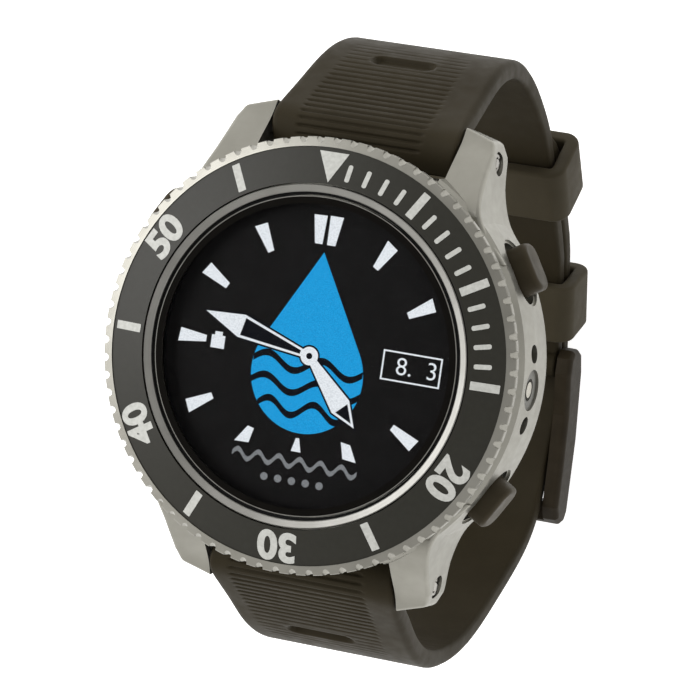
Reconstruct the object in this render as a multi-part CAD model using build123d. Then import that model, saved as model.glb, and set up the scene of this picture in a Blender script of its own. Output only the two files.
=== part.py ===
from build123d import *
import math
import os

# Wrist dive computer. Origin: centre of the case back's flat outer face.
# +Z out through the dial, +Y towards 12 o'clock, +X towards 3 o'clock. All sizes in mm.

# Case
CASE_R = 23.55
CASE_TOP = 11.95
CASE_WIDEST_LOW = 3.5
CASE_BOTTOM = 2.0
CASE_BOTTOM_R = 22.3
CAVITY_R = 17.9
CAVITY_TOP = 11.4
DIAL_OPENING_R = 17.0
NECK_R = 20.2
NECK_TOP = 13.9
CRYSTAL_SEAT_Z = 13.3
STRAP_GAP = 22.0
GAP_FLOOR_Y = 20.5

# Case back and its screws
BACK_R = 20.3
SCREW_CIRCLE_R = 19.0
SCREW_R = 0.6
SCREW_HEAD_R = 1.0
SCREW_COUNT = 6

# Bezel
BEZEL_R = 23.5
BEZEL_BOTTOM = 12.1
BEZEL_BORE_R = 20.26
INSERT_R = 22.45
INSERT_INNER_R = 18.55
INSERT_EDGE_Z = 14.3
INSERT_INNER_Z = 15.34
INSERT_THICKNESS = 0.7
KNURL_COUNT = 76
KNURL_R = 0.42
KNURL_AT_TOP = 23.3
KNURL_LEAN = 25
RATCHET_COUNT = 60

# Crystal
RING_OUTER_R = 18.39
RING_INNER_R = 17.58
CRYSTAL_R = 17.3
CRYSTAL_TOP = 14.95

# Buttons
BUTTON_ANGLES = {"2h": 31.2, "10h": 148.8, "8h": 210.4, "4h": 328.4}
BUTTON_Z = 6.7
BUTTON_WIDTH = 5.4
BUTTON_HEIGHT = 4.0
BUTTON_FRONT_R = 25.4
BUTTON_BACK_R = 22.9
STEM_R = 1.0
STEM_END_R = 16.9
RECESS_FLOOR_R = 21.95
SPRING_SEAT_R = 20.9
SPRING_POCKET_R = 1.95

# Charge contact on the 3 o'clock side
CONTACT_Z = 8.2
CONTACT_R = 2.22
PIN_R = 0.87
LOCATING_R = 1.0
LOCATING_Y = 3.85

# Lugs and spring bars
LUG_BAR_Y = 23.13
LUG_BAR_Z = 4.26
LUG_CORNER = (14.45, 25.4)
LUG_ROUND = 0.45
LUG_SINK_X = 14.3
LUG_SINK_R = 1.3
BAR_R = 0.9
BAR_TIP_R = 0.55
BAR_TIP_X = 14.95

# Strap
STRAP_END_HALF = 10.8
STRAP_BACK_HALF = 9.7
LAYER = 2.2
BACK_1 = Vector(0, -0.7526, -0.6585)
BACK_2 = Vector(0, -0.9229, -0.3852)
BACK_1_START = Vector(0, 26.05, -32.24)
BACK_CORNER = Vector(0, 12.88, -43.77)
BUCKLE_AXIS = Vector(0, -0.9, -47.6)
LOOP_R = 1.7

# Buckle and keepers
BUCKLE_HALF = 11.9
BUCKLE_BAR = 1.9
BUCKLE_ROUND = 0.6
BUCKLE_PIN_R = 0.75
PIN_SEAT_X = 11.2
KEEPER_WALL = 1.7
KEEPER_LENGTH = 7.2
TONGUE_WIDTH = 2.6


def tube(r_out, r_in, z0, z1):
    """Ring about Z between two heights."""
    ring = Circle(r_out) - Circle(r_in)
    return extrude(Pos(0, 0, z0) * ring, z1 - z0)


def disc(r, z0, z1):
    return extrude(Pos(0, 0, z0) * Circle(r), z1 - z0)


def turned(points):
    """Solid of revolution about Z from radius, height points."""
    profile = make_face(Polyline(*[(r, 0, z) for r, z in points], close=True))
    return revolve(profile, Axis.Z)


def side_prism(points, half_width):
    """Prism along X from Y, Z points."""
    face = make_face(Polyline(*[(0, y, z) for y, z in points], close=True))
    return extrude(face, half_width, dir=(1, 0, 0), both=True)


def yz(*points):
    return [Vector(0, y, z) for y, z in points]


def radial(angle, z=BUTTON_Z):
    """Plane whose Z runs outward from the case at this angle, X along the case side."""
    a = math.radians(angle)
    out = (math.cos(a), math.sin(a), 0)
    along = (-math.sin(a), math.cos(a), 0)
    return Plane(origin=(0, 0, z), x_dir=along, z_dir=out)


def radial_bar(angle, section, r0, r1, z=BUTTON_Z):
    """Section pushed outward from radius r0 to r1."""
    plane = radial(angle, z)
    return extrude(plane * (Pos(0, 0, r0) * section), r1 - r0)


# ---------------------------------------------------------------- case


def lug():
    """The 12 o'clock lug on the 3 o'clock side: a smooth fall to the strap and a flared flank."""
    half = STRAP_GAP / 2
    flank = Spline((15.05, 23.9), (15.4, 20.9), (15.9, 18.6), (16.7, 16.6), (18.0, 14.9), (19.8, 12.9))
    rest = Polyline(flank @ 1, (half, 12.0), (half, 26.5), LUG_CORNER, flank @ 0)
    plan = extrude(make_face([*rest.edges(), flank]), 14)
    upright = plan.edges().filter_by(Axis.Z)
    plan = fillet(upright.sort_by_distance((*LUG_CORNER, 7))[:1], 0.9)
    top = Spline(
        *yz((17.4, 11.8), (19.7, 10.5), (22.4, 8.0), (25.0, 5.5), (26.5, 4.6)),
        tangents=[(0, 1, -0.15), (0, 1, -0.5)],
    )
    below = yz((26.2, 3.2), (25.2, 1.9), (23.4, 1.4), (20.4, 2.0), (12, 2), (12, 11.8))
    under = Polyline(top @ 1, *below, top @ 0)
    side = extrude(make_face([top, *under.edges()]), 22, dir=(1, 0, 0), both=True)
    body = plan & side
    curved = body.edges().filter_by(GeomType.BSPLINE)
    rim = curved.filter_by(lambda e: e.center().Z > 4.5 and e.center().X > 12)
    return fillet(rim, LUG_ROUND)


def case_body():
    outer = [(17.0, CASE_BOTTOM), (CASE_BOTTOM_R, CASE_BOTTOM), (CASE_R, CASE_WIDEST_LOW)]
    outer += [(CASE_R + 0.12, 7.6), (CASE_R, 11.3), (CASE_R - 0.55, CASE_TOP), (17.0, CASE_TOP)]
    body = turned(outer)
    body += tube(NECK_R, DIAL_OPENING_R, CASE_TOP, NECK_TOP)
    gap = Box(STRAP_GAP, 20, 40)
    body -= Pos(0, GAP_FLOOR_Y + 10, CASE_TOP - 20) * gap
    body -= Pos(0, -GAP_FLOOR_Y - 10, CASE_TOP - 20) * gap
    one = lug()
    pair = [one, mirror(one, Plane.YZ)]
    for piece in pair:
        body += piece
        body += mirror(piece, Plane.XZ)
    body -= disc(CAVITY_R, 0, CAVITY_TOP)
    body -= disc(DIAL_OPENING_R, 0, 20)
    body -= disc(RING_OUTER_R + 0.01, CRYSTAL_SEAT_Z, 20)
    body -= Pos(0, 0, 12.95) * Torus(NECK_R, 0.34)
    body -= click_pocket()
    for angle in BUTTON_ANGLES.values():
        body -= button_bore(angle)
    body -= contact_bores()
    for k in range(SCREW_COUNT):
        spot = Rot(0, 0, 60 * k + 30) * Pos(SCREW_CIRCLE_R, 0, 0)
        body -= spot * Cylinder(SCREW_R, 3.2, align=(Align.CENTER, Align.CENTER, Align.MIN)).moved(
            Pos(0, 0, CASE_BOTTOM)
        )
    for sign in (1, -1):
        body -= bar_holes(sign)
    return body


def bar_holes(sign):
    """Through holes of one spring bar, counterbored in each lug's outer face."""
    axis = Pos(0, sign * LUG_BAR_Y, LUG_BAR_Z) * Rot(0, 90, 0)
    cut = axis * Cylinder(BAR_TIP_R + 0.05, 40)
    for side in (1, -1):
        facing = axis * Rot(0, 90 - side * 90, 0)
        cut += facing * Pos(0, 0, LUG_SINK_X + 2) * Cylinder(LUG_SINK_R, 4)
        cut += facing * Pos(0, 0, LUG_SINK_X - 0.2) * Cone(0.7, LUG_SINK_R, 0.4)
    return cut


def button_bore(angle):
    """Recess for the cap, pocket for the spring, groove for the seal and bore for the stem."""
    recess = radial_bar(angle, RectangleRounded(7.1, 5.6, 2.7), RECESS_FLOOR_R, 30)
    recess += radial_bar(angle, RectangleRounded(7.7, 6.2, 3.0), RECESS_FLOOR_R + 1.15, 30)
    pocket = radial_bar(angle, Circle(SPRING_POCKET_R), SPRING_SEAT_R, 30)
    bore = radial_bar(angle, Circle(STEM_R + 0.05), 14, 30)
    groove = radial_bar(angle, Circle(1.62), 19.3, 20.15)
    return recess + pocket + bore + groove


def contact_bores():
    cut = radial_bar(0, Circle(CONTACT_R), 19.6, 30, CONTACT_Z)
    cut += radial_bar(0, Circle(PIN_R + 0.25), 16, 30, CONTACT_Z)
    for side in (1, -1):
        angle = side * math.degrees(math.asin(LOCATING_Y / CASE_R))
        cut += radial_bar(angle, Circle(LOCATING_R), 22.0, 30, CONTACT_Z)
    return cut


def click_pocket():
    return Rot(0, 0, 180) * arc_strip(20.55, 22.75, 11.0, 12.5, 34)


def arc_strip(r_in, r_out, z0, z1, degrees):
    """Flat ring segment centred on the X axis."""
    reach = 2 * r_out
    half = math.radians(degrees / 2)
    far = (reach * math.cos(half), reach * math.sin(half))
    wedge = make_face(Polyline((0, 0), (far[0], -far[1]), far, close=True))
    return tube(r_out, r_in, z0, z1) & extrude(Pos(0, 0, z0) * wedge, z1 - z0)


def case_back():
    plate = turned([(0, 0), (19.3, 0), (BACK_R, 0.9), (BACK_R, CASE_BOTTOM), (0, CASE_BOTTOM)])
    plate += disc(CAVITY_R - 0.06, CASE_BOTTOM, 3.4)
    plate -= tube(CAVITY_R + 1, 17.2, 2.3, 3.1)
    plate -= disc(15.9, CASE_BOTTOM - 0.6, 4)
    for k in range(SCREW_COUNT):
        spot = Rot(0, 0, 60 * k + 30) * Pos(SCREW_CIRCLE_R, 0, 0)
        plate -= spot * Cylinder(SCREW_R + 0.08, 9)
        plate -= spot * Pos(0, 0, 0.55) * Cylinder(SCREW_HEAD_R + 0.08, 1.1)
    for k in range(6):
        plate -= sensor_port(k)
    for k in (0, 180):
        plate -= Rot(0, 0, k) * arc_strip(13.2, 13.5, -1, 0.2, 120)
    return plate


def sensor_port(k):
    """One of the small water ports over the depth sensor."""
    a = math.radians(60 * k)
    return Pos(2.2 * math.cos(a), 9.5 + 2.2 * math.sin(a), 0) * Cylinder(0.35, 9)


def case_back_gasket():
    return tube(CAVITY_R - 0.01, 17.22, 2.34, 3.06)


def case_back_screws():
    screws = []
    for k in range(SCREW_COUNT):
        head = Pos(0, 0, 0.15) * Cylinder(SCREW_HEAD_R, 0.9, align=(Align.CENTER, Align.CENTER, Align.MIN))
        shank = Pos(0, 0, 1.0) * Cylinder(
            SCREW_R - 0.02, 4.0, align=(Align.CENTER, Align.CENTER, Align.MIN)
        )
        drive = Pos(0, 0, 0.35) * extrude(RegularPolygon(0.5, 6), -0.6)
        screws.append(Rot(0, 0, 60 * k + 30) * Pos(SCREW_CIRCLE_R, 0, 0) * (head + shank - drive))
    return Compound(children=screws)


# ---------------------------------------------------------------- bezel


def bezel_notches():
    """Scallops cut into the rim from above, leaning outward so that they run out on its side."""
    tool = Pos(KNURL_AT_TOP, 0, INSERT_EDGE_Z) * Rot(0, -KNURL_LEAN, 0) * Cylinder(KNURL_R, 5)
    return [Rot(0, 0, 360 * k / KNURL_COUNT) * tool for k in range(KNURL_COUNT)]


def bezel_ring():
    section = [(BEZEL_BORE_R, BEZEL_BOTTOM), (22.6, BEZEL_BOTTOM), (BEZEL_R, BEZEL_BOTTOM + 1.2)]
    section += [(BEZEL_R, 14.0), (23.42, 14.1), (INSERT_R + 0.02, 14.4), (INSERT_R + 0.02, 13.6)]
    section += [(BEZEL_BORE_R, 14.16)]
    ring = turned(section)
    ring -= bezel_notches()
    lip = [(18.72, 14.02), (BEZEL_BORE_R + 0.3, 14.02), (BEZEL_BORE_R + 0.3, 14.08), (18.72, 14.56)]
    ring += turned(lip)
    ring -= Pos(0, 0, 12.95) * Torus(NECK_R + 0.06, 0.45)
    teeth = Sketch() + PolarLocations(21.6, RATCHET_COUNT) * Rectangle(2.0, 0.9)
    ring -= extrude(Pos(0, 0, BEZEL_BOTTOM - 0.1) * teeth, 0.5)
    return ring


def bezel_insert():
    t = INSERT_THICKNESS
    section = [(INSERT_R, INSERT_EDGE_Z), (INSERT_INNER_R, INSERT_INNER_Z)]
    section += [(INSERT_INNER_R, INSERT_INNER_Z - t), (INSERT_R, INSERT_EDGE_Z - t + 0.02)]
    return turned(section)


def bezel_click_spring():
    strip = Rot(0, 0, 180) * arc_strip(20.7, 22.6, 11.05, 11.4, 32)
    tab = Rot(0, 0, 180 + 12) * arc_strip(21.0, 22.2, 11.3, 11.9, 3)
    return strip + tab


def bezel_retaining_wire():
    ring = Pos(0, 0, 12.95) * Torus(NECK_R - 0.02, 0.3)
    return ring - Pos(0, -NECK_R, 12.95) * Box(3, 4, 2)


# ---------------------------------------------------------------- crystal and display


def crystal_ring():
    section = [(RING_INNER_R, CRYSTAL_SEAT_Z), (RING_OUTER_R, CRYSTAL_SEAT_Z), (RING_OUTER_R, 15.25)]
    section += [(RING_OUTER_R - 0.1, 15.33), (RING_INNER_R + 0.08, 15.12), (RING_INNER_R, 15.04)]
    return turned(section)


def crystal():
    section = [(0, CRYSTAL_SEAT_Z), (CRYSTAL_R, CRYSTAL_SEAT_Z), (CRYSTAL_R, CRYSTAL_TOP - 0.2)]
    section += [(CRYSTAL_R - 0.25, CRYSTAL_TOP), (0, CRYSTAL_TOP)]
    return turned(section)


def crystal_gasket():
    return tube(RING_INNER_R, CRYSTAL_R, CRYSTAL_SEAT_Z, 14.72)


def display_panel():
    return disc(16.9, 12.1, 13.2)


def module_frame():
    ring = tube(16.9, 15.9, 3.6, 12.0)
    ring += tube(CAVITY_R - 0.3, 15.9, 3.6, 4.4)
    ring += disc(15.95, 8.9, 9.6)
    ring -= Pos(0, 0, 9) * Box(6, 6, 4)
    for angle in BUTTON_ANGLES.values():
        ring -= radial_bar(angle, Circle(2.4), 10, 20)
    ring -= radial_bar(0, Circle(1.9), 10, 20, CONTACT_Z)
    return ring


def main_board():
    board = disc(15.8, 9.75, 10.55)
    board += Pos(0, 0, 10.9) * Box(8, 8, 0.7)
    board += Pos(-8, 4, 10.8) * Box(5, 4, 0.5)
    return board + Pos(6, -8, 10.8) * Box(6, 3, 0.5)


def battery():
    cell = Pos(0, -3.2, 6.3) * Box(22, 15, 4.6)
    return fillet(cell.edges().filter_by(Axis.Z), 1.5)


def pressure_sensor():
    can = Pos(0, 9.5, 0) * disc(3.6, 1.5, 4.6)
    return can + Pos(0, 9.5, 5.0) * Box(9, 5, 0.8)


def charge_contact_insulator():
    body = radial_bar(0, Circle(CONTACT_R - 0.01), 19.6, 23.3, CONTACT_Z)
    groove = radial_bar(0, Circle(PIN_R + 0.35), 22.8, 30, CONTACT_Z)
    return body - radial_bar(0, Circle(PIN_R), 16, 30, CONTACT_Z) - groove


def charge_contact_pin():
    return radial_bar(0, Circle(PIN_R - 0.01), 16.2, 23.3, CONTACT_Z)


# ---------------------------------------------------------------- buttons


def button(angle):
    cap = radial_bar(angle, RectangleRounded(BUTTON_WIDTH, BUTTON_HEIGHT, 1.5), BUTTON_BACK_R, BUTTON_FRONT_R)
    front = cap.faces().filter_by(radial(angle)).sort_by(lambda f: -f.center().length)[0]
    cap = fillet(front.edges(), 0.5)
    stem = radial_bar(angle, Circle(STEM_R), STEM_END_R, BUTTON_BACK_R + 0.5)
    groove = radial_bar(angle, Circle(3) - Circle(0.72), 17.3, 17.75)
    return cap + stem - groove


def button_clip(angle):
    ring = Circle(1.65) - Circle(0.74) - Pos(0, 1.2) * Rectangle(0.9, 2)
    return radial_bar(angle, ring, 17.34, 17.71)


def button_seals():
    rings = [radial_bar(a, Circle(1.6) - Circle(STEM_R + 0.02), 19.32, 20.12) for a in BUTTON_ANGLES.values()]
    return Compound(children=rings)


def button_springs():
    springs = []
    length = BUTTON_BACK_R - SPRING_SEAT_R - 0.5
    for angle in BUTTON_ANGLES.values():
        coil = Helix(pitch=length / 3.5, height=length, radius=1.5)
        wire = sweep(Plane(coil @ 0, z_dir=coil % 0) * Circle(0.2), path=coil)
        springs.append(radial(angle) * Pos(0, 0, SPRING_SEAT_R + 0.25) * wire)
    return Compound(children=springs)


def spring_bar(sign):
    axis = Pos(0, sign * LUG_BAR_Y, LUG_BAR_Z) * Rot(0, 90, 0)
    tips = Cylinder(BAR_TIP_R, 2 * BAR_TIP_X)
    tips = fillet(tips.edges(), 0.2)
    return axis * (Cylinder(BAR_R, 21.5) + tips)


# ---------------------------------------------------------------- strap


def width_envelope():
    """Strap outline seen from 12 o'clock: full width at the case, narrower round the wrist."""
    a, b = STRAP_END_HALF, STRAP_BACK_HALF
    outline = [(a, 16), (a, 2.3), (b, -19.7), (b, -60), (-b, -60), (-b, -19.7), (-a, 2.3), (-a, 16)]
    face = make_face(Polyline(*[(x, 0, z) for x, z in outline], close=True))
    return extrude(face, 60, dir=(0, 1, 0), both=True)


def band(path, low, high, steps=70):
    """Strap layer between two offsets, outward positive, of a path in the YZ plane."""
    sides = []
    for offset in (low, high):
        points = []
        for i in range(steps + 1):
            along = path % (i / steps)
            out = Vector(0, -along.Z, along.Y)
            points.append(path @ (i / steps) + out * offset)
        sides.append(Spline(*points))
    ends = [Line(sides[0] @ 0, sides[1] @ 0), Line(sides[0] @ 1, sides[1] @ 1)]
    face = make_face([*sides, *ends])
    return extrude(face, STRAP_END_HALF, dir=(1, 0, 0), both=True)


def corner_ends(reach):
    """Points this far before and after the place where the two straight back sections meet."""
    return BACK_CORNER - BACK_1 * reach, BACK_CORNER + BACK_2 * reach


def buckle_half_path():
    """Outer surface of the 12 o'clock half, from the case to the buckle."""
    front = yz((22.8, 10.7), (24.4, 8.2), (26.6, 4.4), (29.6, -0.4), (32.6, -5.6), (34.3, -11.4))
    front += yz((34.2, -16.6), (32.7, -21.8), (30.0, -26.9)) + [BACK_1_START + BACK_1]
    curve = Spline(*front, tangents=[Vector(0, 0.5, -0.87), BACK_1])
    start, end = corner_ends(1.7)
    bend = Spline(start, end, tangents=[BACK_1, BACK_2])
    tip = BUCKLE_AXIS - BACK_2 * 0.8 + Vector(0, 0.3852, -0.9229) * 1.72
    return Wire([curve, Line(curve @ 1, start), bend, Line(end, tip)])


def tail_path():
    """Inner surface of the 6 o'clock half, from its free tip back to the case."""
    start, end = corner_ends(1.7)
    gap = Vector(0, 0.6585, -0.7526) * 0.04
    gap_2 = Vector(0, 0.3852, -0.9229) * 0.04
    tip = BACK_1_START - BACK_1 * 2.6 + gap
    bend = Spline(start + gap, end + gap_2, tangents=[BACK_1, BACK_2])
    last = BUCKLE_AXIS - BACK_2 * 1.2 + Vector(0, 0.3852, -0.9229) * 1.79
    rest = [last] + yz((-4.5, -49.95), (-10, -49.35), (-15, -48.25), (-19.6, -46.6), (-24.4, -41.2))
    rest += yz((-27.4, -36.0), (-30.4, -30.2), (-32.5, -23.6), (-33.0, -17.6), (-32.3, -11.6))
    rest += yz((-30.4, -6.4), (-27.6, -1.6), (-25.3, 2.4), (-23.6, 5.2))
    under = Spline(*rest, tangents=[BACK_2, Vector(0, 0.5, 0.87)])
    return Wire([Line(tip, start + gap), bend, Line(end + gap_2, last), under])


def end_block(sign):
    """Thick strap end that fills the space between the lugs round the spring bar."""
    outline = [(20.8, 11.25), (22.5, 11.1), (24.4, 8.2), (26.6, 4.4), (28.1, 2.0), (26.4, 0.2)]
    outline += [(24.9, 1.7), (23.2, 2.0), (20.8, 2.2)]
    block = side_prism([(sign * y, z) for y, z in outline], STRAP_END_HALF)
    return block


def shoulder(sign):
    """Space above the strap end, which dips toward the case between the lugs."""
    crest = Spline(*yz((20.3, 4.8), (22.2, 6.0), (23.5, 6.35), (24.6, 6.25), (25.5, 5.75), (27.2, 4.2)))
    rest = Polyline(crest @ 1, *yz((31, 4.2), (31, 15), (20.3, 15)), crest @ 0)
    space = extrude(make_face([crest, *rest.edges()]), 15, dir=(1, 0, 0), both=True)
    return space if sign > 0 else mirror(space, Plane.XZ)


def bar_bore(sign):
    return Pos(0, sign * LUG_BAR_Y, LUG_BAR_Z) * Rot(0, 90, 0) * Cylinder(BAR_R + 0.05, 60)


def strap_buckle_half():
    strap = band(buckle_half_path(), -LAYER, 0)
    strap += end_block(1)
    loop = Pos(*BUCKLE_AXIS) * Rot(0, 90, 0) * Cylinder(LOOP_R, 2 * STRAP_END_HALF)
    strap += loop
    strap = strap & width_envelope()
    strap -= Pos(*BUCKLE_AXIS) * Rot(0, 90, 0) * Cylinder(BUCKLE_PIN_R + 0.02, 60)
    strap -= Pos(*BUCKLE_AXIS) * Box(TONGUE_WIDTH + 0.6, 4.6, 8)
    return strap - shoulder(1) - bar_bore(1)


def strap_tail_half():
    strap = band(tail_path(), 0, LAYER, 90)
    strap += end_block(-1)
    strap = strap & width_envelope()
    for y, z in ((-2.45, -50.5), (-8.6, -50.8), (-14.6, -49.8)):
        strap -= Pos(0, y, z) * hole_tool()
    for reach in (6.5, 13.0):
        spot = BACK_1_START - BACK_1 * 2.6 + BACK_1 * reach
        strap -= Pos(*spot) * Rot(41.2, 0, 0) * hole_tool()
    return strap - shoulder(-1) - bar_bore(-1)


def hole_tool():
    return extrude(RectangleRounded(TONGUE_WIDTH + 0.7, 3.5, 1.2), 4, both=True)


def keeper(anchor, along, reach):
    """Closed loop round both strap layers."""
    plane = Plane(origin=anchor + along * reach, x_dir=(1, 0, 0), z_dir=along)
    thick = 2 * LAYER + 0.5
    half = STRAP_BACK_HALF + 0.25
    outer = RectangleRounded(2 * (half + KEEPER_WALL), thick + 2 * KEEPER_WALL, 1.4)
    inner = RectangleRounded(2 * half, thick, 0.5)
    return extrude(plane * (outer - inner), KEEPER_LENGTH / 2, both=True)


# ---------------------------------------------------------------- buckle


def buckle_frame():
    """Rectangular frame: two cheeks on the pin and a front bar over the strap."""
    y0, z0 = BUCKLE_AXIS.Y, BUCKLE_AXIS.Z
    cheek = [(y0 + 1.9, z0 + 1.2), (y0 + 0.9, z0 + 2.0), (y0 - 1.0, z0 + 2.0), (y0 - 6.0, z0 + 0.3)]
    cheek += [(y0 - 12.0, z0 - 0.5), (y0 - 17.4, z0 - 0.9), (y0 - 18.9, z0 - 1.9), (y0 - 19.5, z0 - 3.5)]
    cheek += [(y0 - 19.2, z0 - 4.8), (y0 - 18.0, z0 - 5.5)]
    cheek += [(y0 - 9.0, z0 - 4.9), (y0 - 0.6, z0 - 3.0), (y0 + 1.6, z0 - 1.9), (y0 + 2.1, z0 - 0.6)]
    blank = side_prism(cheek, BUCKLE_HALF)
    rims = blank.faces().sort_by(Axis.X)
    blank = fillet(rims[0].edges() + rims[-1].edges(), BUCKLE_ROUND)
    inside = BUCKLE_HALF - BUCKLE_BAR
    window = Pos(0, y0 - 7.2, z0) * Box(2 * inside, 19.4, 20)
    saddle = Pos(0, y0 - 18.5, z0 - 2.6) * Rot(7, 0, 0) * Pos(0, 0, 5) * Box(2 * inside, 8, 10)
    notch = Pos(0, y0 - 18.2, z0 - 5.45) * Box(TONGUE_WIDTH + 0.3, 4, 1.5)
    pin_bore = Pos(*BUCKLE_AXIS) * Rot(0, 90, 0) * Cylinder(BUCKLE_PIN_R + 0.03, 2 * PIN_SEAT_X)
    return blank - window - saddle - notch - pin_bore


def buckle_pin():
    """Sprung bar whose ends sit in blind holes in the cheeks."""
    return Pos(*BUCKLE_AXIS) * Rot(0, 90, 0) * Cylinder(BUCKLE_PIN_R, 2 * PIN_SEAT_X - 0.1)


def buckle_tongue():
    y0, z0 = BUCKLE_AXIS.Y, BUCKLE_AXIS.Z
    eye = Pos(*BUCKLE_AXIS) * Rot(0, 90, 0) * Cylinder(1.5, TONGUE_WIDTH)
    shank = [(y0 - 1.1, z0 + 0.8), (y0 - 2.0, z0 - 0.4), (y0 - 2.2, z0 - 4.1), (y0 - 2.6, z0 - 4.8)]
    shank += [(y0 - 19.0, z0 - 4.85), (y0 - 19.0, z0 - 5.5), (y0 - 17.5, z0 - 5.95), (y0 - 1.6, z0 - 5.95)]
    shank += [(y0 - 0.95, z0 - 5.3), (y0 - 0.7, z0 - 1.2)]
    arm = side_prism(shank, TONGUE_WIDTH / 2)
    bore = Pos(*BUCKLE_AXIS) * Rot(0, 90, 0) * Cylinder(BUCKLE_PIN_R + 0.03, 10)
    return eye + arm - bore


# ---------------------------------------------------------------- output


def assembly():
    nodes = {
        "case_body": case_body(),
        "case_back": case_back(),
        "case_back_gasket": case_back_gasket(),
        "case_back_screws": case_back_screws(),
        "bezel_ring": bezel_ring(),
        "bezel_insert": bezel_insert(),
        "bezel_click_spring": bezel_click_spring(),
        "bezel_retaining_wire": bezel_retaining_wire(),
        "crystal_ring": crystal_ring(),
        "crystal": crystal(),
        "crystal_gasket": crystal_gasket(),
        "display_panel": display_panel(),
        "module_frame": module_frame(),
        "main_board": main_board(),
        "battery": battery(),
        "pressure_sensor": pressure_sensor(),
        "charge_contact_pin": charge_contact_pin(),
        "charge_contact_insulator": charge_contact_insulator(),
        "button_seals": button_seals(),
        "button_springs": button_springs(),
        "spring_bar_12h": spring_bar(1),
        "spring_bar_6h": spring_bar(-1),
        "strap_buckle_half": strap_buckle_half(),
        "strap_tail_half": strap_tail_half(),
        "keeper_upper": keeper(BACK_1_START, BACK_1, 5.9),
        "keeper_lower": keeper(BACK_CORNER, BACK_2, 6.8),
        "buckle_frame": buckle_frame(),
        "buckle_pin": buckle_pin(),
        "buckle_tongue": buckle_tongue(),
    }
    for name, angle in BUTTON_ANGLES.items():
        nodes["button_" + name] = button(angle)
        nodes["button_clip_" + name] = button_clip(angle)
    return nodes


os.makedirs("parts", exist_ok=True)
for name, shape in assembly().items():
    export_step(shape, f"parts/{name}.step")
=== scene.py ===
import bpy
import bmesh
import math
import numpy as np
from mathutils import Matrix, Vector
from mathutils.geometry import tessellate_polygon


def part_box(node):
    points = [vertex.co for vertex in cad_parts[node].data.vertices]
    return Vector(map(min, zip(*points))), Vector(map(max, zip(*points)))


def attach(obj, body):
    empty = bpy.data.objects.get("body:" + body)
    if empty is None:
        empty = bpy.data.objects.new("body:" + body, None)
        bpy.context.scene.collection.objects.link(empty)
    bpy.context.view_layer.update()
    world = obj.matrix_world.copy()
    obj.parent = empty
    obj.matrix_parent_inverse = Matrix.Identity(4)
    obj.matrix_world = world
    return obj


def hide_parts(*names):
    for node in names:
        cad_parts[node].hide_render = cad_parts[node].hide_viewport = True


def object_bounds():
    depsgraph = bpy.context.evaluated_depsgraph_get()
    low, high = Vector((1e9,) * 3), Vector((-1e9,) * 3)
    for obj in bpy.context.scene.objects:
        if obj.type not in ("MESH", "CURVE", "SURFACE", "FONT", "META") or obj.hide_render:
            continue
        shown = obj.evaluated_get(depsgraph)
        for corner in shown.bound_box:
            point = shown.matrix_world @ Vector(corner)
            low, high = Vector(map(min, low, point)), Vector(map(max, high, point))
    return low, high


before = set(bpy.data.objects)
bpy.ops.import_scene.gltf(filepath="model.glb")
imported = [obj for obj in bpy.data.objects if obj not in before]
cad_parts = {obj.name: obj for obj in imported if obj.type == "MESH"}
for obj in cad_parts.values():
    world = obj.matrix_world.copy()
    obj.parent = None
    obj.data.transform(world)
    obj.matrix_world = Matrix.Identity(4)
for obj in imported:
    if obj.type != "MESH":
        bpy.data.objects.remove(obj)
CAD_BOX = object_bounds()
MM = 0.001

# The frame: X to 3 o'clock, Y to 12 o'clock, Z out of the dial. Shapes here are in mm.
# The insert is a shallow cone round the crystal: radius and height of its outer and inner edge.
INSERT_EDGE = (22.45, 14.3)
INSERT_INNER = (18.55, 15.34)
DISPLAY_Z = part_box("display_panel")[1][2] / MM
LUG_BAR_Y = 23.13
LUG_BAR_Z = 4.26


# ---------------------------------------------------------------- camera, floor, lights

# The camera looks at the dial from the 3 o'clock side and slightly from 12, and is rolled.
# Distances are in metres.
VIEW_SIDE = math.radians(19.35)
VIEW_UP = math.radians(4.33)
VIEW_ROLL = math.radians(8.25)
VIEW_DISTANCE = 0.4376
VIEW_ACROSS = 0.00471
VIEW_ALONG = 0.00067
DIAL_PLANE = Vector((0, 0, 0.0143))
LENS = 210.7

FLOOR_REACH = 3.0
# The floor's own glow, as the object sees it and as the camera does.
FLOOR_GLOW = 0.5
FLOOR_GLOW_SEEN = 0.8


def view_axes():
    """Right, up and backward directions of the camera."""
    back = Vector((
        math.sin(VIEW_SIDE) * math.cos(VIEW_UP),
        math.sin(VIEW_UP),
        math.cos(VIEW_SIDE) * math.cos(VIEW_UP),
    ))
    level = Vector((0, 1, 0)).cross(back).normalized()
    up = back.cross(level)
    right = level * math.cos(VIEW_ROLL) + up * math.sin(VIEW_ROLL)
    top = up * math.cos(VIEW_ROLL) - level * math.sin(VIEW_ROLL)
    return right, top, back


def add_camera():
    """The photo's view."""
    right, top, back = view_axes()
    data = bpy.data.cameras.new("camera")
    data.lens = LENS
    data.sensor_width = 36
    data.clip_start = 0.01
    camera = bpy.data.objects.new("camera", data)
    place = DIAL_PLANE + back * VIEW_DISTANCE + right * VIEW_ACROSS + top * VIEW_ALONG
    turn = Matrix((right, top, back)).transposed().to_4x4()
    camera.matrix_world = Matrix.Translation(place) @ turn
    bpy.context.scene.collection.objects.link(camera)
    bpy.context.scene.camera = camera


def add_light(name, place, size, power):
    """Round soft light aimed at the middle of the dial."""
    data = bpy.data.lights.new(name, "AREA")
    data.shape = "DISK"
    data.size = size
    data.energy = power
    light = bpy.data.objects.new(name, data)
    turn = (-Vector(place)).to_track_quat("-Z", "Y").to_matrix().to_4x4()
    light.matrix_world = Matrix.Translation(place) @ turn
    bpy.context.scene.collection.objects.link(light)


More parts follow.
